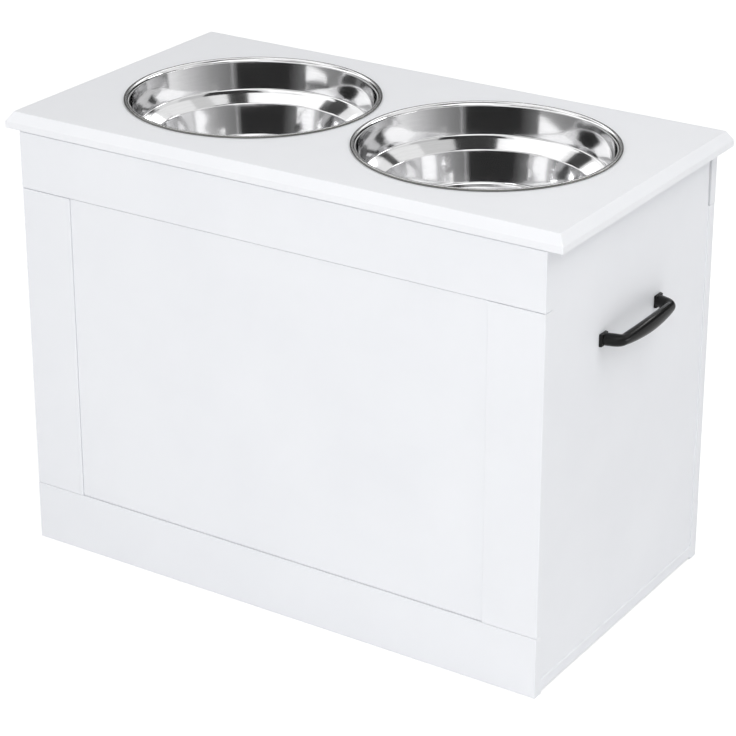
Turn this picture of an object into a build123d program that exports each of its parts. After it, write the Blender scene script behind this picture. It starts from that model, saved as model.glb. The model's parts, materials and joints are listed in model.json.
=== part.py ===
from build123d import *
import math
import os

# Raised dog feeder: a box of framed boards with a hinged lid that carries two steel bowls.
# Millimetres. +Z is up and the front frame faces -Y. The origin is on the floor, under the
# middle of the whole object's box.

# ---------------------------------------------------------------- driving dimensions

# cabinet, as wide and as deep as the bowls need
body_height = 430  # floor to the top edges of the boards
bowl_side_gap = 22.8  # from a bowl's wall to the side panel
bowl_end_gap = 30.3  # from a bowl's wall to the front and back frames, without the offset
board = 12  # thickness of the frame, side and bottom boards
board_arris = 0.6  # small chamfer that shows as a line where two boards meet
top_rail_height = 57.5
bottom_rail_height = 61
stile_width = 56.5
side_recess = 1.0  # side panels stand back from the ends of the frames
floor_gap = 3  # under the bottom board
slit_width = 3.2  # tapered gap between a side panel and the back top rail
slit_end_width = 0.8

# panels held in grooves of their frame
panel_thickness = 8.5
panel_recess = 1.6
panel_reveal = 0.3  # gap round the panel's face
tongue_thickness = 4
tongue_depth = 3  # from the panel's face back to its tongue
groove_depth = 6
groove_clearance = 0.3
tenon_margin = 10  # the grooves and the stiles' tenons stop short of the frame's ends

# lid
lid_thickness = 16
lid_edge_height = 6.6  # upright edge below the bevel
lid_bevel_run = 6
lid_overhang_side = 15.5
lid_overhang_front = 2
lid_overhang_back = 1
lid_gap = 0.5  # between the closed lid and the boards

# bowls
bowl_gap = 11  # between the two rims
bowl_offset = 1  # bowl centres behind the middle of the cabinet
bowl_sheet = 0.8
rim_outer_radius = 124
rim_width = 5.6  # from the wall's top edge out to the rim's edge
rim_height = 2.4  # the closed roll of the rim
rim_clearance = 0.1  # under the rim
upper_wall_lean = 4.8  # the wall's foot stands in from its top by this
upper_wall_depth = 29  # from the lid's top face
step_width = 17.1
step_drop = 9
lower_wall_lean = 5.5
bowl_depth = 72
rim_arris = 0.8
bowl_hole_clearance = 0.8

# handles
handle_pitch = 105.5  # between the screws
handle_drop = 117.5  # from the top edges of the boards down to the screws
handle_forward = 3  # in front of the middle of the side panel
handle_reach = 17.3  # side panel to the middle of the grip's ends
handle_bow = 3.9  # further out at the middle of the grip
handle_lean = 5  # each leg leans in by this
handle_foot = 12  # square foot
handle_foot_thickness = 1.5
handle_foot_flare = 1.8
handle_leg = 9
handle_outer_bend = 11  # radii from a leg into the grip
handle_inner_bend = 2.5
handle_grip_end = 7.6
handle_grip_height = 11.5
handle_grip_thickness = 9.5
handle_edge = 2.2  # cut off every long edge

# butt hinges on the back
hinge_inset = 104.5  # from the ends of the back frame to the middle of each hinge
hinge_length = 60
leaf_thickness = 1.2
cabinet_leaf_width = 26
lid_leaf_width = 34
knuckle_radius = 2.8
hinge_pin_radius = 1.5
hinge_pin_end = 0.6  # stands out of each end knuckle
knuckle_count = 3
knuckle_sides = 12  # knuckles and pins are drawn with this many sides
knuckle_gap = 0.3
hinge_standoff = 0.3  # knuckles to the back frame's face
pin_clearance = 0.1

# fasteners
fit_clearance = 0.05  # radial, round every screw and dowel
hinge_screw_radius = 1.6
hinge_screw_head_radius = 2.9
hinge_screw_length = 10
hinge_screw_pitch = 36
hinge_screw_edge = 8  # screw line to a leaf's free edge
handle_screw_radius = 2
handle_screw_head_radius = 4
handle_screw_head = 2.4
handle_screw_grip = 6  # length inside the handle's foot
base_screw_radius = 2.2
base_screw_head_radius = 4.4
base_screw_head = 2.6
base_screw_length = 45
base_screw_pitch = 120
dowel_radius = 3
dowel_length = 30
dowel_face_depth = 8  # share of a dowel that stands in a board's face
end_gap = 0.5  # beyond the end of a screw or dowel
same_place = 0.01  # corners and edges nearer than this to a place count as being there
small_sides = 8  # screws and dowels are drawn with this many sides

# ---------------------------------------------------------------- places worked out from them

upper_wall_top_radius = rim_outer_radius - rim_width
upper_wall_foot_radius = upper_wall_top_radius - upper_wall_lean
step_inner_radius = upper_wall_foot_radius - step_width
lower_wall_foot_radius = step_inner_radius - lower_wall_lean
bowl_spacing = 2 * rim_outer_radius + bowl_gap
bowl_reach = upper_wall_top_radius + bowl_sheet  # outside of a bowl's wall, from its centre
side_reach = bowl_reach + bowl_side_gap + board  # outer face of a side panel, from a bowl's centre
body_width = bowl_spacing + 2 * (side_reach + side_recess)
body_depth = 2 * (bowl_reach + bowl_end_gap + board)

lid_underside = body_height + lid_gap
lid_top = lid_underside + lid_thickness
pin_from_back = hinge_standoff + knuckle_radius
whole_depth = lid_overhang_front + body_depth + pin_from_back + knuckle_radius
body_front = lid_overhang_front - whole_depth / 2
body_back = body_front + body_depth
body_middle = (body_front + body_back) / 2
pin_y = body_back + pin_from_back
pin_z = lid_underside - knuckle_radius

top_rail_low = body_height - top_rail_height
stile_length = top_rail_low - bottom_rail_height
stile_middle_x = (body_width - stile_width) / 2
opening_width = body_width - 2 * stile_width

side_outer = body_width / 2 - side_recess  # outer face of a side panel, from the middle
side_inner = side_outer - board
side_joint_x = side_outer - board / 2
base_top = floor_gap + board
base_depth = body_depth - 2 * board

dowel_edge_depth = dowel_length - dowel_face_depth
tenon_length = groove_depth - groove_clearance
tenon_width = stile_width - tenon_margin
groove_start = panel_recess + tongue_depth  # from the frame's outer face
groove_width = tongue_thickness + groove_clearance
corner_dowel_heights = (
    bottom_rail_height / 2,
    bottom_rail_height + stile_length / 2,
    top_rail_low + top_rail_height / 2,
)
base_dowel_x = body_width / 4
base_joint_z = floor_gap + board / 2

hinge_x = body_width / 2 - hinge_inset
hinge_centres = (-hinge_x, hinge_x)
bowl_centres = (-bowl_spacing / 2, bowl_spacing / 2)
bowl_y = body_middle + bowl_offset
handle_y = body_middle - handle_forward
handle_height = body_height - handle_drop

# Each frame is drawn on its outer face, seen from outside: local x is level, local y is up.
front_face = Plane(origin=(0, body_front, 0), x_dir=(1, 0, 0), z_dir=(0, -1, 0))
back_face = Plane(origin=(0, body_back, 0), x_dir=(-1, 0, 0), z_dir=(0, 1, 0))
frames = (("front", front_face, -1), ("back", back_face, 1))

# Screw heads lie in these planes, whose z points the way each screw goes in.
hinge_screw_plane = {
    "cabinet": Plane(
        origin=(0, body_back + leaf_thickness, pin_z - cabinet_leaf_width + hinge_screw_edge),
        x_dir=(1, 0, 0),
        z_dir=(0, -1, 0),
    ),
    "lid": Plane(
        origin=(0, pin_y - lid_leaf_width + hinge_screw_edge, lid_underside - leaf_thickness),
        x_dir=(1, 0, 0),
        z_dir=(0, 0, 1),
    ),
}

os.makedirs("parts", exist_ok=True)


def save(part, name):
    """Labels a finished piece and writes it as a node of its own."""
    part.label = name
    export_step(part, f"parts/{name}.step")


# ---------------------------------------------------------------- frames

for side, face, outward in frames:
    inner_face = face.offset(-board)
    tongue_face = face.offset(-groove_start)
    x_sign = face.x_dir.X

    for rail, low, high, groove_edge, into in (
        ("top_rail", top_rail_low, body_height, top_rail_low, 1),
        ("bottom_rail", 0, bottom_rail_height, bottom_rail_height, -1),
    ):
        joint_z = (low + high) / 2
        with BuildPart() as rail_board:
            with BuildSketch(face):
                with Locations((0, joint_z)):
                    Rectangle(body_width, high - low)
            extrude(amount=-board)
            chamfer(rail_board.edges().filter_by(Axis.X), length=board_arris)
            # groove for the panel's tongue and the stiles' tenons
            with BuildSketch(tongue_face):
                with Locations((0, groove_edge + into * groove_depth / 2)):
                    Rectangle(body_width - 2 * tenon_margin + groove_clearance, groove_depth)
            extrude(amount=-groove_width, mode=Mode.SUBTRACT)
            # dowel holes in the inner face
            with BuildSketch(inner_face):
                with Locations((-side_joint_x, joint_z), (side_joint_x, joint_z)):
                    RegularPolygon(dowel_radius + fit_clearance, small_sides)
                if rail == "bottom_rail":
                    with Locations((-base_dowel_x, base_joint_z), (base_dowel_x, base_joint_z)):
                        RegularPolygon(dowel_radius + fit_clearance, small_sides)
            extrude(amount=dowel_face_depth + fit_clearance, mode=Mode.SUBTRACT)
            if (side, rail) == ("back", "top_rail"):
                # the lid's leaves pass over the rail in shallow notches
                with BuildSketch(face):
                    with Locations(*[(x, body_height) for x in hinge_centres]):
                        Rectangle(
                            hinge_length + 2 * knuckle_gap,
                            2 * (leaf_thickness - lid_gap + hinge_standoff),
                        )
                extrude(amount=-board, mode=Mode.SUBTRACT)
                with BuildSketch(hinge_screw_plane["cabinet"]):
                    with Locations(*[(x, 0) for x in hinge_centres]):
                        with GridLocations(hinge_screw_pitch, 1, 2, 1):
                            RegularPolygon(hinge_screw_radius + fit_clearance, small_sides)
                extrude(amount=hinge_screw_length + end_gap, mode=Mode.SUBTRACT)
        save(rail_board.part, f"{side}_{rail}")

    for hand, x_side in (("left", -1), ("right", 1)):
        local_side = x_side * x_sign
        with BuildPart() as stile:
            with BuildSketch(face):
                with Locations((local_side * stile_middle_x, bottom_rail_height + stile_length / 2)):
                    Rectangle(stile_width, stile_length)
            extrude(amount=-board)
            outer = stile.faces().sort_by(Axis.Y)[0 if outward < 0 else -1]
            chamfer(outer.edges(), length=board_arris)
            # stub tenons that fit the rails' grooves
            with BuildSketch(tongue_face.offset(-groove_clearance / 2)):
                with Locations(
                    (local_side * (stile_middle_x - tenon_margin / 2), bottom_rail_height + stile_length / 2)
                ):
                    Rectangle(tenon_width, stile_length + 2 * tenon_length)
            extrude(amount=-tongue_thickness)
            with BuildSketch(tongue_face):
                with Locations(
                    (local_side * (opening_width + groove_depth) / 2, bottom_rail_height + stile_length / 2)
                ):
                    Rectangle(groove_depth, stile_length + 2 * groove_depth)
            extrude(amount=-groove_width, mode=Mode.SUBTRACT)
            # dowel hole for the side panel, in the inner face
            with BuildSketch(inner_face):
                with Locations((local_side * side_joint_x, bottom_rail_height + stile_length / 2)):
                    RegularPolygon(dowel_radius + fit_clearance, small_sides)
            extrude(amount=dowel_face_depth + fit_clearance, mode=Mode.SUBTRACT)
        save(stile.part, f"{side}_{hand}_stile")

    with BuildPart() as panel:
        with BuildSketch(face.offset(-panel_recess)):
            with Locations((0, bottom_rail_height + stile_length / 2)):
                Rectangle(opening_width - 2 * panel_reveal, stile_length - 2 * panel_reveal)
        extrude(amount=-panel_thickness)
        with BuildSketch(tongue_face.offset(-groove_clearance / 2)):
            with Locations((0, bottom_rail_height + stile_length / 2)):
                Rectangle(opening_width + 2 * tenon_length, stile_length + 2 * tenon_length)
        extrude(amount=-tongue_thickness)
    save(panel.part, f"{side}_panel")

# ---------------------------------------------------------------- side panels and bottom board

for hand, x_side in (("left", -1), ("right", 1)):
    outer_plane = Plane(origin=(x_side * side_outer, 0, 0), x_dir=(0, x_side, 0), z_dir=(x_side, 0, 0))
    y_sign = x_side  # local x along the panel is +Y on the right panel and -Y on the left
    rear_x = y_sign * (body_back - board)
    front_x = y_sign * (body_front + board)
    with BuildPart() as side_panel:
        with BuildSketch(outer_plane):
            with BuildLine():
                Polyline(
                    (front_x, base_top),
                    (rear_x, base_top),
                    (rear_x, top_rail_low),
                    (rear_x - y_sign * slit_end_width, top_rail_low),
                    (rear_x - y_sign * slit_width, body_height),
                    (front_x, body_height),
                    close=True,
                )
            make_face()
        extrude(amount=-board)
        # dowel holes in both upright edges
        for side, face, outward in frames:
            with BuildSketch(face.offset(-board)):
                with Locations(*[(x_side * face.x_dir.X * side_joint_x, z) for z in corner_dowel_heights]):
                    RegularPolygon(dowel_radius + fit_clearance, small_sides)
            extrude(amount=-(dowel_edge_depth + end_gap), mode=Mode.SUBTRACT)
        # handle screws
        with BuildSketch(outer_plane):
            with Locations((y_sign * handle_y, handle_height)):
                with GridLocations(handle_pitch, 1, 2, 1):
                    RegularPolygon(handle_screw_radius + fit_clearance, small_sides)
        extrude(amount=-board, mode=Mode.SUBTRACT)
        # base screws, up from the bottom edge
        with BuildSketch(Plane.XY.offset(base_top)):
            with Locations((x_side * side_joint_x, body_middle)):
                with GridLocations(1, base_screw_pitch, 1, 2):
                    RegularPolygon(base_screw_radius + fit_clearance, small_sides)
        extrude(amount=base_screw_length - board + end_gap, mode=Mode.SUBTRACT)
    save(side_panel.part, f"{hand}_side_panel")

with BuildPart() as bottom_board:
    with BuildSketch(Plane.XY.offset(floor_gap)):
        with Locations((0, body_middle)):
            Rectangle(2 * side_outer, base_depth)
    extrude(amount=board)
    with BuildSketch(Plane.XY.offset(floor_gap)):
        with Locations((0, body_middle)):
            with GridLocations(2 * side_joint_x, base_screw_pitch, 2, 2):
                RegularPolygon(base_screw_radius + fit_clearance, small_sides)
    extrude(amount=board, mode=Mode.SUBTRACT)
    with BuildSketch(Plane.XY.offset(floor_gap)):
        with Locations((0, body_middle)):
            with GridLocations(2 * side_joint_x, base_screw_pitch, 2, 2):
                RegularPolygon(base_screw_head_radius + fit_clearance, small_sides)
    extrude(amount=base_screw_head + fit_clearance, mode=Mode.SUBTRACT)
    for side, face, outward in frames:
        with BuildSketch(face.offset(-board)):
            with Locations((-base_dowel_x, base_joint_z), (base_dowel_x, base_joint_z)):
                RegularPolygon(dowel_radius + fit_clearance, small_sides)
        extrude(amount=-(dowel_edge_depth + end_gap), mode=Mode.SUBTRACT)
save(bottom_board.part, "bottom_board")

# ---------------------------------------------------------------- dowels and base screws

for node, places in (
    ("corner_dowels", [(x, z) for x in (-side_joint_x, side_joint_x) for z in corner_dowel_heights]),
    ("base_dowels", [(x, base_joint_z) for x in (-base_dowel_x, base_dowel_x)]),
):
    with BuildPart() as dowels:
        for side, face, outward in frames:
            with BuildSketch(face.offset(dowel_face_depth - board)):
                with Locations(*places):
                    RegularPolygon(dowel_radius, small_sides)
            extrude(amount=-dowel_length)
    save(dowels.part, node)

with BuildPart() as base_screws:
    for radius, length in (
        (base_screw_head_radius, base_screw_head),
        (base_screw_radius, base_screw_length),
    ):
        with BuildSketch(Plane.XY.offset(floor_gap)):
            with Locations((0, body_middle)):
                with GridLocations(2 * side_joint_x, base_screw_pitch, 2, 2):
                    RegularPolygon(radius, small_sides)
        extrude(amount=length)
save(base_screws.part, "base_screws")

# ---------------------------------------------------------------- lid

lid_length = body_width + 2 * lid_overhang_side
lid_depth = lid_overhang_front + body_depth + lid_overhang_back
lid_middle = body_front - lid_overhang_front + lid_depth / 2
bevel_height = lid_thickness - lid_edge_height
bowl_hole_radius = bowl_reach + bowl_hole_clearance

with BuildPart() as lid_board:
    with BuildSketch(Plane.XY.offset(lid_underside)):
        with Locations((0, lid_middle)):
            Rectangle(lid_length, lid_depth)
    extrude(amount=lid_edge_height)
    with BuildSketch(Plane.XY.offset(lid_underside + lid_edge_height)):
        with Locations((0, lid_middle)):
            Rectangle(lid_length, lid_depth)
    extrude(amount=bevel_height, taper=math.degrees(math.atan2(lid_bevel_run, bevel_height)))
    with BuildSketch(Plane.XY.offset(lid_top)):
        with Locations(*[(x, bowl_y) for x in bowl_centres]):
            Circle(bowl_hole_radius)
    extrude(amount=-lid_thickness, mode=Mode.SUBTRACT)
    with BuildSketch(Plane.XY.offset(lid_underside)):
        with Locations(*[(x, hinge_screw_plane["lid"].origin.Y) for x in hinge_centres]):
            with GridLocations(hinge_screw_pitch, 1, 2, 1):
                RegularPolygon(hinge_screw_radius + fit_clearance, small_sides)
    extrude(amount=hinge_screw_length - leaf_thickness + end_gap, mode=Mode.SUBTRACT)
save(lid_board.part, "lid_board")

# ---------------------------------------------------------------- bowls

rim_low = lid_top + rim_clearance
rim_top = rim_low + rim_height
floor_top = lid_top - bowl_depth + bowl_sheet
step_top = lid_top - upper_wall_depth

for hand, x in zip(("left", "right"), bowl_centres):
    with BuildPart() as bowl:
        with BuildSketch(Plane(origin=(x, bowl_y, 0), x_dir=(1, 0, 0), z_dir=(0, -1, 0))):
            # the sheet's inner face from the middle of the floor up to the rim
            with BuildLine():
                Polyline(
                    (0, floor_top),
                    (lower_wall_foot_radius, floor_top),
                    (step_inner_radius, step_top - step_drop),
                    (upper_wall_foot_radius, step_top),
                    (upper_wall_top_radius, rim_top),
                )
                offset(amount=bowl_sheet, side=Side.RIGHT, kind=Kind.INTERSECTION)
            make_face()
            # the rim's roll, which rests on the lid
            with BuildLine():
                Polyline(
                    (upper_wall_top_radius, rim_top),
                    (rim_outer_radius - rim_arris, rim_top),
                    (rim_outer_radius, rim_top - rim_arris),
                    (rim_outer_radius, rim_low),
                    (upper_wall_top_radius, rim_low),
                    close=True,
                )
            make_face()
            # cut back to the wall's inner face
            with BuildLine():
                Polyline(
                    (upper_wall_foot_radius, step_top),
                    (upper_wall_top_radius, rim_top),
                    (upper_wall_foot_radius, rim_top),
                    close=True,
                )
            make_face(mode=Mode.SUBTRACT)
        revolve(axis=Axis((x, bowl_y, 0), (0, 0, 1)))
    save(bowl.part, f"{hand}_bowl")

# ---------------------------------------------------------------- handles

half_pitch = handle_pitch / 2
half_grip = half_pitch - handle_lean
grip_half_end = handle_grip_end / 2
legs_outside = half_pitch + handle_leg / 2
legs_inside = half_pitch - handle_leg / 2
grip_middle = handle_reach + handle_bow

for hand, x_side in (("left", -1), ("right", 1)):
    # each handle is drawn round the middle of its own footprint, then moved to its panel
    foot_plane = Plane(origin=(0, 0, 0), x_dir=(0, 1, 0), z_dir=(x_side, 0, 0))
    plan = Plane(origin=(0, 0, 0), x_dir=(0, 1, 0), z_dir=(0, 0, -x_side))
    with BuildPart() as handle:
        # seen from above: two leaning legs and a bowed grip
        with BuildSketch(plan) as outline:
            for base, end, grip_edge in (
                (legs_outside, grip_half_end, grip_middle + handle_grip_thickness / 2),
                (legs_inside, -grip_half_end, grip_middle - handle_grip_thickness / 2),
            ):
                across = half_grip + end
                shoulder = handle_reach + end
                with BuildLine():
                    Polyline((-across, shoulder), (-base, 0), (base, 0), (across, shoulder))
                    ThreePointArc((across, shoulder), (0, grip_edge), (-across, shoulder))
                make_face(mode=Mode.ADD if end > 0 else Mode.SUBTRACT)
            for end, radius in ((grip_half_end, handle_outer_bend), (-grip_half_end, handle_inner_bend)):
                shoulder = handle_reach + end
                corners = outline.vertices().filter_by_position(
                    Axis.Y, shoulder - same_place, shoulder + same_place
                )
                fillet(corners, radius=radius)
        extrude(amount=handle_grip_height / 2, both=True)
        # seen from the side: the grip swells towards its middle
        with BuildSketch(foot_plane):
            with BuildLine():
                for up in (-1, 1):
                    ThreePointArc(
                        (-legs_outside, up * grip_half_end),
                        (0, up * handle_grip_height / 2),
                        (legs_outside, up * grip_half_end),
                    )
                    Line((up * legs_outside, -grip_half_end), (up * legs_outside, grip_half_end))
            make_face()
        extrude(amount=grip_middle + handle_grip_thickness, mode=Mode.INTERSECT)
        off_panel = handle.edges().filter_by(lambda edge: abs(edge.center().X) > same_place)
        chamfer(off_panel.filter_by(Axis.Z, reverse=True), length=handle_edge)
        # square feet, each with a short flare up to its leg
        for end in (-half_pitch, half_pitch):
            with BuildSketch(foot_plane):
                with Locations((end, 0)):
                    Rectangle(handle_foot, handle_foot)
            extrude(amount=handle_foot_thickness)
            for height, width in ((0, handle_foot), (handle_foot_flare, handle_leg)):
                with BuildSketch(foot_plane.offset(handle_foot_thickness + height)):
                    with Locations((end, 0)):
                        Rectangle(width, width)
            loft()
        with BuildSketch(foot_plane):
            with GridLocations(handle_pitch, 1, 2, 1):
                RegularPolygon(handle_screw_radius + fit_clearance, small_sides)
        extrude(amount=handle_screw_grip + end_gap, mode=Mode.SUBTRACT)
    save(Pos(x_side * side_outer, handle_y, handle_height) * handle.part, f"{hand}_handle")

with BuildPart() as handle_screws:
    for x_side in (-1, 1):
        head_plane = Plane(
            origin=(x_side * side_inner, handle_y, handle_height), x_dir=(0, 1, 0), z_dir=(x_side, 0, 0)
        )
        for radius, length in (
            (handle_screw_head_radius, -handle_screw_head),
            (handle_screw_radius, board + handle_screw_grip),
        ):
            with BuildSketch(head_plane):
                with GridLocations(handle_pitch, 1, 2, 1):
                    RegularPolygon(radius, small_sides)
            extrude(amount=length)
save(handle_screws.part, "handle_screws")

# ---------------------------------------------------------------- hinges

knuckle_length = (hinge_length - (knuckle_count - 1) * knuckle_gap) / knuckle_count
knuckle_step = knuckle_length + knuckle_gap
knuckle_reach = knuckle_radius + hinge_standoff  # from the pin to whatever the knuckles pass

for hand, centre in zip(("left", "right"), hinge_centres):
    first = centre - hinge_length / 2
    for owner, turns in (("cabinet", (0, 2)), ("lid", (1,))):
        with BuildPart() as leaf:
            for turn in turns:
                with BuildSketch(Plane.YZ.offset(first + turn * knuckle_step)):
                    with Locations((pin_y, pin_z)):
                        RegularPolygon(knuckle_radius, knuckle_sides)
                    # the tab that joins the knuckle to its plate
                    if owner == "cabinet":
                        with Locations((body_back, pin_z)):
                            Rectangle(leaf_thickness, knuckle_reach + leaf_thickness, align=(Align.MIN, Align.MAX))
                    else:
                        with Locations((pin_y, lid_underside)):
                            Rectangle(knuckle_reach + leaf_thickness, leaf_thickness, align=(Align.MAX, Align.MAX))
                extrude(amount=knuckle_length)
            with BuildSketch(Plane.YZ.offset(first)):
                if owner == "cabinet":
                    with Locations((body_back, pin_z - knuckle_reach)):
                        Rectangle(leaf_thickness, cabinet_leaf_width - knuckle_reach, align=(Align.MIN, Align.MAX))
                else:
                    with Locations((pin_y - knuckle_reach, lid_underside)):
                        Rectangle(lid_leaf_width - knuckle_reach, leaf_thickness, align=(Align.MAX, Align.MAX))
            extrude(amount=hinge_length)
            with BuildSketch(Plane.YZ.offset(first)):
                with Locations((pin_y, pin_z)):
                    RegularPolygon(hinge_pin_radius + pin_clearance, knuckle_sides)
            extrude(amount=hinge_length, mode=Mode.SUBTRACT)
            with BuildSketch(hinge_screw_plane[owner]):
                with Locations((centre, 0)):
                    with GridLocations(hinge_screw_pitch, 1, 2, 1):
                        RegularPolygon(hinge_screw_head_radius + fit_clearance, small_sides)
            extrude(amount=leaf_thickness, mode=Mode.SUBTRACT)
        save(leaf.part, f"{hand}_hinge_{owner}_leaf")

    with BuildPart() as pin:
        with BuildSketch(Plane.YZ.offset(first - hinge_pin_end)):
            with Locations((pin_y, pin_z)):
                RegularPolygon(hinge_pin_radius, knuckle_sides)
        extrude(amount=hinge_length + 2 * hinge_pin_end)
    save(pin.part, f"{hand}_hinge_pin")

for owner, plane in hinge_screw_plane.items():
    with BuildPart() as hinge_screws:
        for radius, length in (
            (hinge_screw_head_radius, leaf_thickness),
            (hinge_screw_radius, hinge_screw_length),
        ):
            with BuildSketch(plane):
                with Locations(*[(x, 0) for x in hinge_centres]):
                    with GridLocations(hinge_screw_pitch, 1, 2, 1):
                        RegularPolygon(radius, small_sides)
            extrude(amount=length)
    save(hinge_screws.part, f"hinge_{owner}_screws")
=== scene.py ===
import json
import math

import bpy
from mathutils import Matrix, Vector

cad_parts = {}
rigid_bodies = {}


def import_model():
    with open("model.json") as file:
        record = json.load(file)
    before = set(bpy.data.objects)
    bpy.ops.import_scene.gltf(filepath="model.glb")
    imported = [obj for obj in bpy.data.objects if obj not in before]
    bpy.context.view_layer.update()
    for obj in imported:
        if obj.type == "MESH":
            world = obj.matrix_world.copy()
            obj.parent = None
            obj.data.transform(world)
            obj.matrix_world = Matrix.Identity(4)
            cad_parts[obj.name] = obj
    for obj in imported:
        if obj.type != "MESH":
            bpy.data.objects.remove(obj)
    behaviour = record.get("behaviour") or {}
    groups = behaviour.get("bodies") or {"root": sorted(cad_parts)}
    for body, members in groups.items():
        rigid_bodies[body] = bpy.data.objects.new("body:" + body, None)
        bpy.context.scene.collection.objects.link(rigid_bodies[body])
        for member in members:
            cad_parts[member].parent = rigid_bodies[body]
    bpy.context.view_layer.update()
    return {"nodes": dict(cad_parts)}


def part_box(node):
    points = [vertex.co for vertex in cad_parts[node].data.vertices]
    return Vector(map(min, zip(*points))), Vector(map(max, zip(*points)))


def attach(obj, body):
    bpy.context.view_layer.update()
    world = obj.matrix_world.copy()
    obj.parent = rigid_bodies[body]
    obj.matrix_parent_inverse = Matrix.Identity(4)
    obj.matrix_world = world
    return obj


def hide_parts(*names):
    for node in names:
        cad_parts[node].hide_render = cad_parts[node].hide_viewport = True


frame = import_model()

# Raised dog feeder: a storage box whose hinged lid carries two steel bowls.
# Named sizes and the lengths in tables are millimetres. Places and the studio at the end are metres.
MM = 0.001

# ------------------------------------------------------------------ places on the object

lid_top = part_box("lid_board")[1].z
side_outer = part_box("right_side_panel")[1].x


def middle(node):
    """The middle of a CAD node's box."""
    low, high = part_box(node)
    return (low + high) / 2


# ------------------------------------------------------------------ working with pieces

# A corner this near to a place is at it.
NEAR = 0.1 * MM
# A face points a way when its normal has this much of it.
FACING = 0.9


def deselect():
    """Leaves nothing selected, out of edit mode."""
    if bpy.context.object and bpy.context.object.mode != "OBJECT":
        bpy.ops.object.mode_set(mode="OBJECT")
    bpy.ops.object.select_all(action="DESELECT")


def take(piece):
    """Leaves only this piece selected and active."""
    deselect()
    piece.select_set(True)
    bpy.context.view_layer.objects.active = piece
    return piece


def added(name):
    """The primitive that was just added, with its place in its mesh."""
    piece = bpy.context.object
    piece.name = piece.data.name = name
    bpy.ops.object.transform_apply(location=True, rotation=True, scale=True)
    return piece


def modify(piece, kind, **settings):
    """Adds a modifier with these settings and applies it."""
    take(piece)
    modifier = piece.modifiers.new(kind.lower(), kind)
    for setting, value in settings.items():
        setattr(modifier, setting, value)
    bpy.ops.object.modifier_apply(modifier=modifier.name)


def choose(piece, kind, test):
    """Selects the corners, edges or faces whose place passes the test, and stays in edit mode.

    The test also gets the normal, or an edge's direction.
    """
    take(piece)
    bpy.ops.object.mode_set(mode="EDIT")
    bpy.ops.mesh.select_mode(type=kind)
    bpy.ops.mesh.select_all(action="DESELECT")
    bpy.ops.object.mode_set(mode="OBJECT")
    mesh = piece.data
    if kind == "FACE":
        for face in mesh.polygons:
            face.select = test(face.center, face.normal)
    elif kind == "EDGE":
        for edge in mesh.edges:
            ends = [mesh.vertices[index].co for index in edge.vertices]
            edge.select = test((ends[0] + ends[1]) / 2, ends[1] - ends[0])
    else:
        for vertex in mesh.vertices:
            vertex.select = test(vertex.co, vertex.normal)
    bpy.ops.object.mode_set(mode="EDIT")


def join(pieces, name):
    """Makes one piece of several."""
    take(pieces[0])
    for piece in pieces[1:]:
        piece.select_set(True)
    bpy.ops.object.join()
    piece = bpy.context.object
    piece.name = piece.data.name = name
    return piece


def outward(piece):
    """Turns every face outwards."""
    take(piece)
    bpy.ops.object.mode_set(mode="EDIT")
    bpy.ops.mesh.select_all(action="SELECT")
    bpy.ops.mesh.normals_make_consistent(inside=False)
    bpy.ops.object.mode_set(mode="OBJECT")


def shade(piece, sharper_than):
    """Smooth shading with a crease where faces turn by more than this many degrees."""
    take(piece)
    bpy.ops.object.shade_smooth_by_angle(angle=math.radians(sharper_than))


def finish_piece(piece, material, body, slot, *nodes):
    """Gives a piece its material and its body, and hides the CAD nodes that it stands for."""
    piece.data.materials.clear()
    piece.data.materials.append(material)
    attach(piece, body)
    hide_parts(*nodes)


# ------------------------------------------------------------------ effects shared by materials


def new_group(name, inputs, outputs):
    """A shader node group with these sockets, and its input and output nodes."""
    group = bpy.data.node_groups.new(name, "ShaderNodeTree")
    for title, kind, value in inputs:
        socket = group.interface.new_socket(name=title, in_out="INPUT", socket_type=kind)
        if value is not None:
            socket.default_value = value
    for title, kind in outputs:
        group.interface.new_socket(name=title, in_out="OUTPUT", socket_type=kind)
    return group, group.nodes.new("NodeGroupInput"), group.nodes.new("NodeGroupOutput")


def node(tree, kind, **settings):
    """A new node with these settings."""
    made = tree.nodes.new(kind)
    for setting, value in settings.items():
        setattr(made, setting, value)
    return made


def sprayed_paint():
    """Fine orange peel in the paint, and a slow drift in how thick it lies."""
    group, start, end = new_group(
        "sprayed_paint",
        [("Place", "NodeSocketVector", None), ("Peel Scale", "NodeSocketFloat", 420.0)],
        [("Height", "NodeSocketFloat"), ("Drift", "NodeSocketFloat")],
    )
    link = group.links.new
    peel = node(group, "ShaderNodeTexNoise")
    peel.inputs["Detail"].default_value = 3.0
    link(start.outputs["Place"], peel.inputs["Vector"])
    link(start.outputs["Peel Scale"], peel.inputs["Scale"])
    drift = node(group, "ShaderNodeTexNoise")
    drift.inputs["Scale"].default_value = 9.0
    drift.inputs["Detail"].default_value = 4.0
    link(start.outputs["Place"], drift.inputs["Vector"])
    link(peel.outputs["Fac"], end.inputs["Height"])
    link(drift.outputs["Fac"], end.inputs["Drift"])
    return group


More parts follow.
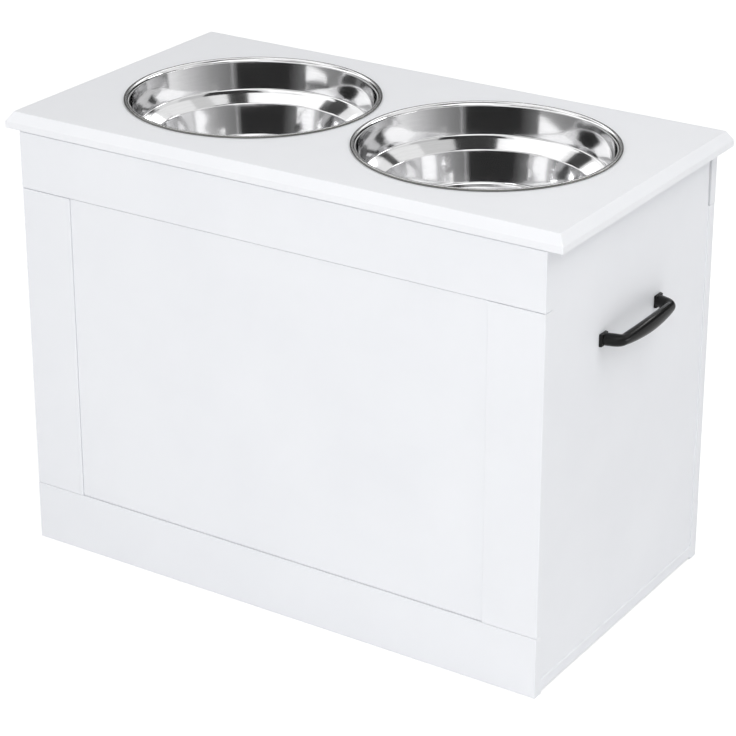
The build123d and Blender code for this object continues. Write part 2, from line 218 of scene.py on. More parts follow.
def fine_scratches():
    """Hair-fine marks stretched along one axis, and soft blotches."""
    group, start, end = new_group(
        "fine_scratches",
        [("Place", "NodeSocketVector", None), ("Scale", "NodeSocketFloat", 300.0)],
        [("Marks", "NodeSocketFloat"), ("Blotches", "NodeSocketFloat")],
    )
    link = group.links.new
    marks = node(group, "ShaderNodeTexNoise")
    marks.inputs["Detail"].default_value = 5.0
    marks.inputs["Roughness"].default_value = 0.7
    link(start.outputs["Place"], marks.inputs["Vector"])
    link(start.outputs["Scale"], marks.inputs["Scale"])
    blotches = node(group, "ShaderNodeTexNoise")
    blotches.inputs["Scale"].default_value = 26.0
    blotches.inputs["Detail"].default_value = 3.0
    link(start.outputs["Place"], blotches.inputs["Vector"])
    link(marks.outputs["Fac"], end.inputs["Marks"])
    link(blotches.outputs["Fac"], end.inputs["Blotches"])
    return group


PAINT = sprayed_paint()
SCRATCHES = fine_scratches()

# Noise seldom leaves the middle of its range, so colours and gloss change between these values of it.
NOISE_SPAN = (0.3, 0.7)
PAINT_SPAN = (0.35, 0.65)
# Places of a Mix node's first and second input and its output, for each kind of value.
MIX_SOCKETS = {"FLOAT": (2, 3, 0), "RGBA": (6, 7, 2)}


def new_material(name):
    """A material, its node tree and its shader."""
    material = bpy.data.materials.new(name)
    material.use_nodes = True
    tree = material.node_tree
    return material, tree, tree.nodes["Principled BSDF"]


def ramp(tree, mask, low, high, span=NOISE_SPAN):
    """Turns a mask into colours that go from low to high over this span of it."""
    made = node(tree, "ShaderNodeValToRGB")
    first, last = made.color_ramp.elements
    first.position, first.color = span[0], (*low, 1)
    last.position, last.color = span[1], (*high, 1)
    tree.links.new(mask, made.inputs["Fac"])
    return made.outputs["Color"]


def mix(tree, kind, mask, off, on):
    """Goes from off to on as the mask rises. Each is an output to follow or a plain value."""
    made = node(tree, "ShaderNodeMix", data_type=kind)
    first, second, result = MIX_SOCKETS[kind]
    tree.links.new(mask, made.inputs["Factor"])
    for index, value in ((first, off), (second, on)):
        if isinstance(value, bpy.types.NodeSocket):
            tree.links.new(value, made.inputs[index])
        else:
            made.inputs[index].default_value = value
    return made.outputs[result]


def beyond(tree, reach, radius, width):
    """Mask that turns on past a radius, over this width."""
    mask = node(tree, "ShaderNodeMapRange", clamp=True)
    mask.inputs["From Min"].default_value = radius * MM
    mask.inputs["From Max"].default_value = (radius + width) * MM
    tree.links.new(reach, mask.inputs["Value"])
    return mask.outputs["Result"]


def grey(value):
    """A colour with this much of red, green and blue."""
    return (value, value, value)


def bump(tree, height, shader, strength, depth):
    """Lets a height mask, this deep from low to high, lean the shader's normal."""
    made = node(tree, "ShaderNodeBump")
    made.inputs["Strength"].default_value = strength
    made.inputs["Distance"].default_value = depth * MM
    tree.links.new(height, made.inputs["Height"])
    tree.links.new(made.outputs["Normal"], shader.inputs["Normal"])


def place(tree, scale=(1, 1, 1), centre=(0, 0, 0)):
    """Object coordinates, moved to a centre and stretched."""
    coordinates = node(tree, "ShaderNodeTexCoord")
    mapping = node(tree, "ShaderNodeMapping", vector_type="TEXTURE")
    mapping.inputs["Location"].default_value = centre
    mapping.inputs["Scale"].default_value = scale
    tree.links.new(coordinates.outputs["Object"], mapping.inputs["Vector"])
    return mapping.outputs["Vector"]


def white_paint(name, pale, deep):
    """Satin white paint sprayed on board."""
    material, tree, shader = new_material(name)
    paint = node(tree, "ShaderNodeGroup", node_tree=PAINT)
    tree.links.new(place(tree), paint.inputs["Place"])
    drift = paint.outputs["Drift"]
    tree.links.new(ramp(tree, drift, deep, pale, PAINT_SPAN), shader.inputs["Base Color"])
    tree.links.new(ramp(tree, drift, grey(0.47), grey(0.38)), shader.inputs["Roughness"])
    shader.inputs["Specular IOR Level"].default_value = 0.2
    bump(tree, paint.outputs["Height"], shader, strength=0.25, depth=0.12)
    return material


# Where a bowl's finish, and the painted shade on its rim, change: distance from its axis, and the width over
# which it does.
FLOOR_SATIN_ENDS = (84, 4)
RIM_SATIN_STARTS = (119, 0.6)
# Past this radius the rolled rim's outer edge is painted dark: painted shade, not a change in the steel.
RIM_PAINTED_SHADE_STARTS = (122.8, 0.3)
FLOOR_ROUGHNESS = 0.34
RIM_ROUGHNESS = 0.17
# The colour of the painted shade on the rim's outer edge.
RIM_PAINTED_SHADE = (0.2, 0.2, 0.19, 1)
# How far the brushed pattern moves on in a radian round a bowl, in metres: little, so its marks run in rings.
RING_DRIFT = 0.004


def round_the_axis(tree, centre):
    """The distance from an upright axis, and a pattern place that draws marks out into rings round it."""
    link = tree.links.new
    around = place(tree, centre=centre)
    split = node(tree, "ShaderNodeSeparateXYZ")
    link(around, split.inputs["Vector"])
    flat = node(tree, "ShaderNodeVectorMath", operation="MULTIPLY")
    flat.inputs[1].default_value = (1, 1, 0)
    link(around, flat.inputs[0])
    reach = node(tree, "ShaderNodeVectorMath", operation="LENGTH")
    link(flat.outputs["Vector"], reach.inputs[0])
    turn = node(tree, "ShaderNodeMath", operation="ARCTAN2")
    link(split.outputs["Y"], turn.inputs[0])
    link(split.outputs["X"], turn.inputs[1])
    drift = node(tree, "ShaderNodeMath", operation="MULTIPLY")
    drift.inputs[1].default_value = RING_DRIFT
    link(turn.outputs["Value"], drift.inputs[0])
    rings = node(tree, "ShaderNodeCombineXYZ")
    link(reach.outputs["Value"], rings.inputs["X"])
    link(split.outputs["Z"], rings.inputs["Y"])
    link(drift.outputs["Value"], rings.inputs["Z"])
    return reach.outputs["Value"], rings.outputs["Vector"]


def bowl_steel(name, centre):
    """Stainless steel spun and brushed round the bowl's own axis, satin on the floor and the rim, with
    painted shade on the rim's outer edge.
    """
    material, tree, shader = new_material(name)
    link = tree.links.new
    shader.inputs["Metallic"].default_value = 1.0
    shader.inputs["Anisotropic"].default_value = 0.6
    reach, rings = round_the_axis(tree, centre)
    brushed = node(tree, "ShaderNodeGroup", node_tree=SCRATCHES)
    brushed.inputs["Scale"].default_value = 1500.0
    link(rings, brushed.inputs["Place"])
    marks = brushed.outputs["Marks"]
    bright = ramp(tree, marks, (0.73, 0.73, 0.735), (0.8, 0.8, 0.805))
    # the rolled rim's outer edge is painted dark here: painted shade
    colour = mix(tree, "RGBA", beyond(tree, reach, *RIM_PAINTED_SHADE_STARTS), bright, RIM_PAINTED_SHADE)
    link(colour, shader.inputs["Base Color"])
    polish = ramp(tree, marks, grey(0.09), grey(0.05))
    inside = mix(tree, "FLOAT", beyond(tree, reach, *FLOOR_SATIN_ENDS), FLOOR_ROUGHNESS, polish)
    gloss = mix(tree, "FLOAT", beyond(tree, reach, *RIM_SATIN_STARTS), inside, RIM_ROUGHNESS)
    link(gloss, shader.inputs["Roughness"])
    bump(tree, marks, shader, strength=0.06, depth=0.02)
    tangent = node(tree, "ShaderNodeTangent", direction_type="RADIAL", axis="Z")
    link(tangent.outputs["Tangent"], shader.inputs["Tangent"])
    return material


def plated_steel(name, dark, light):
    """Zinc-plated steel with faint marks and blotches."""
    material, tree, shader = new_material(name)
    shader.inputs["Metallic"].default_value = 1.0
    plating = node(tree, "ShaderNodeGroup", node_tree=SCRATCHES)
    plating.inputs["Scale"].default_value = 700.0
    tree.links.new(place(tree, scale=(6, 1, 1)), plating.inputs["Place"])
    marks = plating.outputs["Marks"]
    tree.links.new(ramp(tree, plating.outputs["Blotches"], dark, light), shader.inputs["Base Color"])
    tree.links.new(ramp(tree, marks, grey(0.42), grey(0.28)), shader.inputs["Roughness"])
    bump(tree, marks, shader, strength=0.15, depth=0.03)
    return material


def black_enamel(name):
    """Semi-gloss black powder coat."""
    material, tree, shader = new_material(name)
    coat = node(tree, "ShaderNodeGroup", node_tree=PAINT)
    coat.inputs["Peel Scale"].default_value = 900.0
    tree.links.new(place(tree), coat.inputs["Place"])
    height = coat.outputs["Height"]
    black = ramp(tree, coat.outputs["Drift"], grey(0.004), grey(0.007), PAINT_SPAN)
    tree.links.new(black, shader.inputs["Base Color"])
    tree.links.new(ramp(tree, height, grey(0.24), grey(0.18)), shader.inputs["Roughness"])
    shader.inputs["Specular IOR Level"].default_value = 0.22
    bump(tree, height, shader, strength=0.3, depth=0.06)
    return material


def bare_beech(name):
    """Plain turned beech."""
    material, tree, shader = new_material(name)
    wood = node(tree, "ShaderNodeGroup", node_tree=SCRATCHES)
    wood.inputs["Scale"].default_value = 500.0
    tree.links.new(place(tree, scale=(1, 12, 1)), wood.inputs["Place"])
    grain = wood.outputs["Marks"]
    tree.links.new(ramp(tree, grain, (0.45, 0.3, 0.16), (0.62, 0.45, 0.27)), shader.inputs["Base Color"])
    shader.inputs["Roughness"].default_value = 0.6
    bump(tree, grain, shader, strength=0.3, depth=0.05)
    return material


board_white = white_paint("board_white", (0.86, 0.872, 0.9), (0.84, 0.852, 0.882))
# The lid gets a paler copy of the boards' white paint: painted light standing in for the light on the lid.
lid_white = white_paint("lid_white", (0.888, 0.898, 0.922), (0.868, 0.878, 0.904))
hinge_steel = plated_steel("hinge_plating", (0.5, 0.5, 0.5), (0.62, 0.62, 0.61))
screw_steel = plated_steel("screw_plating", (0.46, 0.46, 0.46), (0.58, 0.58, 0.57))
handle_black = black_enamel("handle_enamel")
dowel_beech = bare_beech("dowel_beech")

# ------------------------------------------------------------------ boards

# How far the boards' edges are rounded, and the boards that are rounder than the rest.
BOARD_ROUND = 0.22
ROUNDER_BOARDS = {
    "lid_board": 1.1,
    "back_left_stile": 0.7,
    "back_right_stile": 0.7,
}
# What the rails leave open at their top and foot, as dark joints: node, top, foot.
OPEN_JOINTS = (
    ("front_top_rail", 0.85, 0.55),
    ("front_bottom_rail", 0.3, 0.0),
    ("back_top_rail", 0.9, 0.4),
    ("back_bottom_rail", 0.2, 0.0),
)
# The back's top rail stands this far off the side panels.
REAR_JOINT = 1.4
# The bottom board's ends come out under the side panels as a thin ledge with a round upper edge.
BOTTOM_LEDGE = 0.75
LEDGE_ROUND = 1.5
LEDGE_STEPS = 4
# Steps in any other rounded edge.
ROUND_STEPS = 3
# Edges that turn by more degrees than the first are rounded, and by more than the second stay creases.
BOARD_CORNER = 20
BOARD_CREASE = 30
# Split corners of a CAD node meet within this, and its faces are one where they turn by fewer degrees.
MERGE_WITHIN = 0.01
FLAT_WITHIN = 1


def merged_copy(name, ending):
    """A copy of a CAD node with its split corners merged."""
    take(frame["nodes"][name])
    bpy.ops.object.duplicate()
    piece = bpy.context.object
    bpy.ops.object.parent_clear(type="CLEAR_KEEP_TRANSFORM")
    for key in list(piece.keys()):
        del piece[key]
    piece.name = piece.data.name = name + ending
    bpy.ops.object.mode_set(mode="EDIT")
    bpy.ops.mesh.select_all(action="SELECT")
    bpy.ops.mesh.remove_doubles(threshold=MERGE_WITHIN * MM)
    bpy.ops.mesh.dissolve_limited(angle_limit=math.radians(FLAT_WITHIN))
    bpy.ops.object.mode_set(mode="OBJECT")
    return piece


def shorten(piece, axis, from_low, from_high):
    """Takes these lengths off a piece's low and high end along an axis. A length under zero is added."""
    ends = [corner.co[axis] for corner in piece.data.vertices]
    low, high = min(ends), max(ends)
    cut = (from_low + from_high) * MM
    scale = [1, 1, 1]
    scale[axis] = 1 - cut / (high - low)
    still = [0, 0, 0]
    still[axis] = low + (high - low) * from_low * MM / cut
    take(piece)
    bpy.ops.object.mode_set(mode="EDIT")
    bpy.ops.mesh.select_all(action="SELECT")
    bpy.ops.transform.resize(value=scale, center_override=still)
    bpy.ops.object.mode_set(mode="OBJECT")


def round_ledges(piece):
    """Rounds the two upper edges that run across a board's ends."""
    corners = piece.data.vertices
    end = max(corner.co.x for corner in corners) - NEAR
    top = max(corner.co.z for corner in corners) - NEAR
    choose(piece, "EDGE", lambda at, _: abs(at.x) > end and at.z > top)
    bpy.ops.mesh.bevel(offset=LEDGE_ROUND * MM, segments=LEDGE_STEPS, affect="EDGES")
    bpy.ops.object.mode_set(mode="OBJECT")


def ease_edges(piece, rounding, sharper_than):
    """Rounds the edges that turn by more than this many degrees."""
    modify(
        piece,
        "BEVEL",
        width=rounding * MM,
        segments=ROUND_STEPS,
        limit_method="ANGLE",
        angle_limit=math.radians(sharper_than),
        use_clamp_overlap=True,
    )


def shade_flat(piece, sharper_than):
    """Smooth shading that keeps creases sharp, and large faces flat up to their rounded edges."""
    shade(piece, sharper_than)
    modify(piece, "WEIGHTED_NORMAL", mode="FACE_AREA", weight=100, keep_sharp=True)


painted = {
    name: merged_copy(name, "_painted")
    for name in sorted(frame["nodes"])
    if name.endswith(("_rail", "_stile", "_panel", "_board"))
}
# The axes along the box's length, depth and height.
ACROSS, DEEP, UP = 0, 1, 2
for name, top, foot in OPEN_JOINTS:
    shorten(painted[name], UP, foot, top)
shorten(painted["back_top_rail"], DEEP, REAR_JOINT, 0)
shorten(painted["bottom_board"], ACROSS, -BOTTOM_LEDGE, -BOTTOM_LEDGE)
round_ledges(painted["bottom_board"])
for name, board in painted.items():
    # the lid takes the paler copy of the paint, which is painted light
    paint, body = (lid_white, "lid") if name == "lid_board" else (board_white, "cabinet")
    ease_edges(board, ROUNDER_BOARDS.get(name, BOARD_ROUND), BOARD_CORNER)
    shade_flat(board, BOARD_CREASE)
    finish_piece(board, paint, body, "board_paint", name)

# ------------------------------------------------------------------ bowls

BOWL_SHEET = 0.8
# The sheet's inner face from the floor to the rim: radius, height over the lid's top face, bend radius.
# The wide bends bow the walls slightly.
BOWL_CORNERS = (
    (60, -71.2, 0),
    (90.75, -71.2, 3.5),
    (93.8, -54.6, 500),
    (96.5, -38, 1.6),
    (113.4, -29, 2),
    (116.1, -13.2, 500),
    (118.3, 2, 3.8),
    (123, 2, 0),
)
BOWL_SIDES = 144
BOWL_CREASE = 50
# Corners of the spun sheet that lie within this are one.
SPUN_WITHIN = 0.002
# The floor's middle is a fan inside a ring this wide.
FLOOR_RING = 20
# The rim is rolled outwards and under: its radius, and how many degrees it turns.
ROLL_RADIUS = 0.95
ROLL_TURN = 270
ROLL_STEPS = 9
BEND_STEPS = 7
# A ring close to each end of a bend keeps the straight wall beside it flat in the reflections.
BEND_HOLD = 0.5


def rounded(corners):
    """Points along a line of corners with each corner turned into an arc."""
    points = [Vector(corners[0][:2])]
    for before, corner, after in zip(corners, corners[1:], corners[2:]):
        here = Vector(corner[:2])
        back = (Vector(before[:2]) - here).normalized()
        on = (Vector(after[:2]) - here).normalized()
        half = back.angle(on) / 2
        reach = corner[2] / math.tan(half)
        centre = here + (back + on).normalized() * (corner[2] / math.sin(half))
        first, last = here + back * reach, here + on * reach
        points.append(first + back * BEND_HOLD)
        for step in range(BEND_STEPS + 1):
            share = step / BEND_STEPS
            towards = ((first - centre) * (1 - share) + (last - centre) * share).normalized()
            points.append(centre + towards * corner[2])
        points.append(last + on * BEND_HOLD)
    points.append(Vector(corners[-1][:2]))
    return points


def bowl_profile():
    """Points of the sheet's inner face from the floor to the end of the rolled rim."""
    points = rounded(BOWL_CORNERS)
    end = points[-1]
    centre = end - Vector((0, ROLL_RADIUS))
    for step in range(1, ROLL_STEPS + 1):
        turn = math.radians(90 - ROLL_TURN * step / ROLL_STEPS)
        points.append(centre + Vector((math.cos(turn), math.sin(turn))) * ROLL_RADIUS)
    return points


def steel_bowl(hand):
    """A bowl drawn up from its floor ring by ring along the profile, then given its wall."""
    node_name = hand + "_bowl"
    centre = middle(node_name)
    points = bowl_profile()
    first = points[0]
    deselect()
    bpy.ops.mesh.primitive_circle_add(
        vertices=BOWL_SIDES,
        radius=first.x * MM,
        fill_type="NGON",
        location=(centre.x, centre.y, lid_top + first.y * MM),
    )
    bowl = added(node_name + "_spun")
    bpy.ops.object.mode_set(mode="EDIT")
    bpy.ops.mesh.select_all(action="SELECT")
    bpy.ops.mesh.inset(thickness=FLOOR_RING * MM)
    bpy.ops.mesh.poke()
    choose(bowl, "VERT", lambda at, _: (at.xy - centre.xy).length > first.x * MM - NEAR)
    bpy.ops.mesh.select_mode(type="EDGE")
    for before, after in zip(points, points[1:]):
        bpy.ops.mesh.extrude_edges_move(
            TRANSFORM_OT_translate={"value": (0, 0, (after.y - before.y) * MM)}
        )
        scale = after.x / before.x
        bpy.ops.transform.resize(
            value=(scale, scale, 1), center_override=(centre.x, centre.y, lid_top + after.y * MM)
        )
    bpy.ops.mesh.select_all(action="SELECT")
    bpy.ops.mesh.remove_doubles(threshold=SPUN_WITHIN * MM)
    bpy.ops.mesh.normals_make_consistent(inside=False)
    bpy.ops.object.mode_set(mode="OBJECT")
    # the wall is added below and outside, so the floor has to face up first
    floor_face = max(bowl.data.polygons, key=lambda face: face.area if abs(face.normal.z) > FACING else 0)
    if floor_face.normal.z < 0:
        bowl.data.flip_normals()
    modify(bowl, "SOLIDIFY", thickness=BOWL_SHEET * MM, offset=-1)
    shade(bowl, BOWL_CREASE)
    steel = bowl_steel(hand + "_bowl_steel", (centre.x, centre.y, 0))
    finish_piece(bowl, steel, node_name, "bowl_steel", node_name)


for hand in ("left", "right"):
    steel_bowl(hand)

# ------------------------------------------------------------------ handles

HANDLE = {
    "pitch": 105.5,
    "reach": 17.0,
    "bow": 3.5,
    "lean": 5.0,
    "foot": 12.0,
    "foot_thickness": 1.5,
    "flare": 1.8,
    "leg": 11.2,
    "bend": 7.0,
    "grip_end": 9.6,
    "grip_height": 14.4,
    "grip_thickness": 10.4,
}
# A cage of eight corners is smoothed to a rounded square a little smaller than itself.
CAGE = 1.075
CAGE_SIDES = 8
CAGE_SMOOTHING = 3
# Where sections stand along a leg, and how many there are in a bend and in half the grip.
LEG_SHARES = (0.0, 0.35, 0.7, 0.95)
LEG_BEND_STEPS = 4
GRIP_STEPS = 6
FOOT_ROUND = 0.45
FOOT_CORNER = 20
HANDLE_CREASE = 40


def half_handle():
    """Sections from a foot to the middle of the grip.

    Each is a place along the side and out from it, a heading, a height and a thickness.
    """
    sizes = HANDLE
    foot = Vector((-sizes["pitch"] / 2, 0))
    shoulder = foot + Vector((sizes["lean"], sizes["reach"]))
    leg = (shoulder - foot).normalized()
    # the grip is an arc over the line between the shoulders
    rise, span = sizes["bow"], -shoulder.x
    radius = (span * span + rise * rise) / (2 * rise)
    leg_angle = math.atan2(leg.y, leg.x)
    grip_angle = math.asin(span / radius)
    turn = leg_angle - grip_angle
    bend_start = shoulder - leg * sizes["bend"] * math.tan(turn / 2)
    bend_centre = bend_start + Vector((leg.y, -leg.x)) * sizes["bend"]
    grip_centre = Vector((0, sizes["reach"] + rise - radius))
    sections = [(foot.lerp(bend_start, share), leg_angle, sizes["leg"], sizes["leg"]) for share in LEG_SHARES]
    for step in range(1, LEG_BEND_STEPS + 1):
        share = step / LEG_BEND_STEPS
        angle = leg_angle - turn * share
        at = bend_centre + Vector((-math.sin(angle), math.cos(angle))) * sizes["bend"]
        size = sizes["leg"] + (sizes["grip_end"] - sizes["leg"]) * share
        sections.append((at, angle, size, size))
    for step in range(1, GRIP_STEPS + 1):
        share = step / GRIP_STEPS
        angle = grip_angle * (1 - share)
        at = grip_centre + Vector((-math.sin(angle), math.cos(angle))) * radius
        swell = math.sin(math.radians(90 * share))
        height = sizes["grip_end"] + (sizes["grip_height"] - sizes["grip_end"]) * swell
        thickness = sizes["grip_end"] + (sizes["grip_thickness"] - sizes["grip_end"]) * swell
        sections.append((at, angle, height, thickness))
    return sections


def handle_bar(name, side, spot):
    """A rounded square drawn on along the handle's middle line. Spot gives a place on the side panel."""
    half = half_handle()
    far_half = [(Vector((-at.x, at.y)), -angle, *size) for at, angle, *size in reversed(half[:-1])]
    start, *rest = half + far_half
    corner_turn = math.radians(180 / CAGE_SIDES)
    deselect()
    bpy.ops.mesh.primitive_circle_add(
        vertices=CAGE_SIDES,
        radius=CAGE * 0.5 / math.cos(corner_turn) * MM,
        fill_type="NGON",
        location=spot(start[0]),
        rotation=(math.radians(90), 0, math.radians(90)),
    )
    bpy.context.object.rotation_euler.rotate_axis("Z", corner_turn)
    bar = added(name)
    bpy.ops.object.mode_set(mode="EDIT")
    bpy.ops.mesh.select_all(action="SELECT")

    def heading_of(angle):
        # the first section starts square to the way out from the panel
        return side * (math.radians(90) - angle)

    def shape(section, old_heading, old_height, old_thickness):
        # a section is squared up to the panel, resized and turned to its heading
        at, angle, height, thickness = section
        here = spot(at)
        bpy.ops.transform.rotate(value=old_heading, orient_axis="Z", center_override=here)
        bpy.ops.transform.resize(
            value=(1, thickness / old_thickness, height / old_height), center_override=here
        )
        bpy.ops.transform.rotate(value=-heading_of(angle), orient_axis="Z", center_override=here)

    shape(start, 0, 1, 1)
    before = start
    for section in rest:
        step = spot(section[0]) - spot(before[0])
        bpy.ops.mesh.extrude_region_move(TRANSFORM_OT_translate={"value": step})
        shape(section, heading_of(before[1]), *before[2:])
        before = section
    bpy.ops.object.mode_set(mode="OBJECT")
    modify(bar, "SUBSURF", levels=CAGE_SMOOTHING, render_levels=CAGE_SMOOTHING)
    return bar


def handle_foot(name, side, at):
    """A square plate on the side panel that narrows to the leg."""
    thickness, width = HANDLE["foot_thickness"], HANDLE["foot"]
    deselect()
    bpy.ops.mesh.primitive_cube_add(size=1, location=at, scale=(thickness * MM, width * MM, width * MM))
    foot = added(name)
    flare = Vector((side * HANDLE["flare"] * MM, 0, 0))
    choose(foot, "FACE", lambda _, normal: normal.x * side > FACING)
    bpy.ops.mesh.extrude_region_move(TRANSFORM_OT_translate={"value": flare})
    narrow = HANDLE["leg"] / width
    bpy.ops.transform.resize(value=(1, narrow, narrow), center_override=at + flare)
    bpy.ops.object.mode_set(mode="OBJECT")
    ease_edges(foot, FOOT_ROUND, FOOT_CORNER)
    return foot


def handle_pull(hand, side):
    """A handle's bar and its two feet."""
    node_name = hand + "_handle"
    centre = middle(node_name)

    def spot(at):
        return Vector((side * (side_outer + at.y * MM), centre.y + at.x * MM, centre.z))

    bar = handle_bar(node_name + "_bar", side, spot)
    half_pitch = HANDLE["pitch"] / 2
    half_plate = HANDLE["foot_thickness"] / 2
    feet = [
        handle_foot(node_name + "_foot", side, spot(Vector((place_along, half_plate))))
        for place_along in (-half_pitch, half_pitch)
    ]
    pull = join([bar] + feet, node_name + "_pull")
    outward(pull)
    shade(pull, HANDLE_CREASE)
    finish_piece(pull, handle_black, "cabinet", "handle_black", node_name)


for hand, side in (("left", -1), ("right", 1)):
    handle_pull(hand, side)

# ------------------------------------------------------------------ hinges and fixings

SCREW_SIDES = 24
SHANK_SIDES = 12
# The dome's rounding as a share of the head's height, and the cross's reach as a share of its radius.
DOME_SHARE = 0.42
CROSS_SHARE = 1.15
HEAD_CORNER = 60
SCREW_CREASE = 35
# Each kind of screw: node, body, head's radius and height, how far its dome stands proud,
# shank's radius and length, width of its cross.
SCREWS = (
    ("hinge_cabinet_screws", "cabinet", 3.05, 1.1, 0.6, 1.55, 10, 0.9),
    ("hinge_lid_screws", "lid", 3.05, 1.1, 0.6, 1.55, 10, 0.9),
    ("handle_screws", "cabinet", 4.0, 2.4, 0.0, 1.95, 20, 1.2),
    ("base_screws", "cabinet", 4.3, 2.5, -0.1, 2.15, 44, 1.2),
)


def screw_model(name, head_radius, head_height, proud, shank_radius, length, cross):
    """A domed screw with a cross recess, upright, with the foot of its dome at the origin."""
    deselect()
    bpy.ops.mesh.primitive_cylinder_add(
        vertices=SCREW_SIDES,
        radius=head_radius * MM,
        depth=(head_height + proud) * MM,
        location=(0, 0, (proud - head_height) / 2 * MM),
    )
    head = added(name)
    ease_edges(head, min(head_height + proud, head_radius) * DOME_SHARE, HEAD_CORNER)
    cross_length = head_radius * CROSS_SHARE
    for width, across in ((cross, cross_length), (cross_length, cross)):
        deselect()
        bpy.ops.mesh.primitive_cube_add(
            size=1, location=(0, 0, proud * MM), scale=(width * MM, across * MM, head_height * MM)
        )
        cutter = added("cross_cutter")
        modify(head, "BOOLEAN", object=cutter, operation="DIFFERENCE", solver="EXACT")
        bpy.data.objects.remove(cutter)
    deselect()
    bpy.ops.mesh.primitive_cylinder_add(
        vertices=SHANK_SIDES,
        radius=shank_radius * MM,
        depth=(length - head_height / 2) * MM,
        location=(0, 0, -(length + head_height / 2) / 2 * MM),
    )
    screw = join([head, added(name + "_shank")], name)
    shade(screw, SCREW_CREASE)
    return screw


def solids_of(name):
    """Lowest and highest corner of each separate solid of a CAD node, in a fixed order."""
    copy = merged_copy(name, "_solids")
    take(copy)
    bpy.ops.object.mode_set(mode="EDIT")
    bpy.ops.mesh.select_all(action="SELECT")
    bpy.ops.mesh.separate(type="LOOSE")
    bpy.ops.object.mode_set(mode="OBJECT")
    found = []
    for part in list(bpy.context.selected_objects):
        corners = [corner.co for corner in part.data.vertices]
        low = Vector([min(corner[axis] for corner in corners) for axis in range(3)])
        high = Vector([max(corner[axis] for corner in corners) for axis in range(3)])
        found.append((low, high))
        bpy.data.objects.remove(part)
    # by their lowest corner, to a hundredth of a millimetre
    return sorted(found, key=lambda box: [round(value, 5) for value in box[0]])


def head_side(name, centre):
    """Which way a screw's head faces: back at the cabinet's hinges, into the box at a handle, else down."""
    if name == "hinge_cabinet_screws":
        return Vector((0, 1, 0))
    if name == "handle_screws":
        return Vector((-math.copysign(1, centre.x), 0, 0))
    return Vector((0, 0, -1))


def set_of_screws(name, body, *sizes):
    """A copy of one screw for each solid of a CAD node, with its head where the solid's is."""
    model = screw_model(name + "_model", *sizes)
    screws = []
    for low, high in solids_of(name):
        centre = (low + high) / 2
        out = head_side(name, centre)
        take(model)
        bpy.ops.object.duplicate()
        screw = bpy.context.object
        screw.location = centre + out * abs(out.dot(high - low)) / 2
        screw.rotation_euler = out.to_track_quat("Z", "Y").to_euler()
        bpy.ops.object.transform_apply(location=True, rotation=True, scale=True)
        screws.append(screw)
    bpy.data.objects.remove(model)
    finish_piece(join(screws, name + "_domed"), screw_steel, body, "screw_steel", name)


for row in SCREWS:
    set_of_screws(*row)

# Stamped leaves with worn edges and round knuckles.
LEAF_ROUND = 0.25
LEAF_CORNER = 46
LEAF_CREASE = 40
for name in sorted(frame["nodes"]):
    if name.endswith(("_leaf", "_pin")):
        leaf = merged_copy(name, "_stamped")
        ease_edges(leaf, LEAF_ROUND, LEAF_CORNER)
        shade_flat(leaf, LEAF_CREASE)
        body = "lid" if name.endswith("lid_leaf") else "cabinet"
        finish_piece(leaf, hinge_steel, body, "hinge_steel", name)
    elif name.endswith("_dowels"):
        cad = frame["nodes"][name]
        cad.data.materials.clear()
        cad.data.materials.append(dowel_beech)

# ------------------------------------------------------------------ floor, lights and camera

FLOOR_SIZE = 40
# The floor lies this much under the feet, so the two never flicker.
FLOOR_GAP = 0.0002
# What the floor glows with to the camera alone, which brings it up to white round the object's shadow.
FLOOR_LIFT = 0.42
# The world's light on the object. To the camera and in shiny surfaces the world is white.
AMBIENT = 0.56
WHITE = (1, 1, 1, 1)


def floor_material():
    """Pale floor that reads white to the camera and keeps the object's shadow."""
    material, tree, shader = new_material("studio_floor")
    shader.inputs["Base Color"].default_value = (0.9, 0.9, 0.9, 1)
    shader.inputs["Roughness"].default_value = 0.9
    shader.inputs["Specular IOR Level"].default_value = 0.1
    shader.inputs["Emission Color"].default_value = WHITE
    rays = node(tree, "ShaderNodeLightPath")
    lift = node(tree, "ShaderNodeMath", operation="MULTIPLY")
    lift.inputs[1].default_value = FLOOR_LIFT
    tree.links.new(rays.outputs["Is Camera Ray"], lift.inputs[0])
    tree.links.new(lift.outputs["Value"], shader.inputs["Emission Strength"])
    return material


def studio_floor():
    """A wide floor under the object."""
    deselect()
    bpy.ops.mesh.primitive_plane_add(size=FLOOR_SIZE, location=(0, 0, -FLOOR_GAP))
    floor = added("studio_floor")
    floor.data.materials.append(floor_material())


def studio_world():
    """A world that lights the object softly and looks white to the camera, in gloss and through glass."""
    world = bpy.data.worlds.new("studio_world")
    bpy.context.scene.world = world
    world.use_nodes = True
    sky = world.node_tree
    link = sky.links.new
    rays = node(sky, "ShaderNodeLightPath")
    seen = rays.outputs["Is Camera Ray"]
    for kind in ("Is Glossy Ray", "Is Transmission Ray"):
        either = node(sky, "ShaderNodeMath", operation="MAXIMUM")
        link(seen, either.inputs[0])
        link(rays.outputs[kind], either.inputs[1])
        seen = either.outputs["Value"]
    strength = node(sky, "ShaderNodeMapRange")
    strength.inputs["To Min"].default_value = AMBIENT
    strength.inputs["To Max"].default_value = 1.0
    link(seen, strength.inputs["Value"])
    background = sky.nodes["Background"]
    background.inputs["Color"].default_value = WHITE
    link(strength.outputs["Result"], background.inputs["Strength"])


studio_floor()
studio_world()


def studio_place(azimuth, elevation, distance):
    """A place round the lid: azimuth from the front towards the right, and elevation, in degrees."""
    turn, rise = math.radians(azimuth), math.radians(elevation)
    flat = math.cos(rise) * distance
    return Vector((flat * math.sin(turn), -flat * math.cos(turn), lid_top + math.sin(rise) * distance))


LAMP_DISTANCE = 3.0


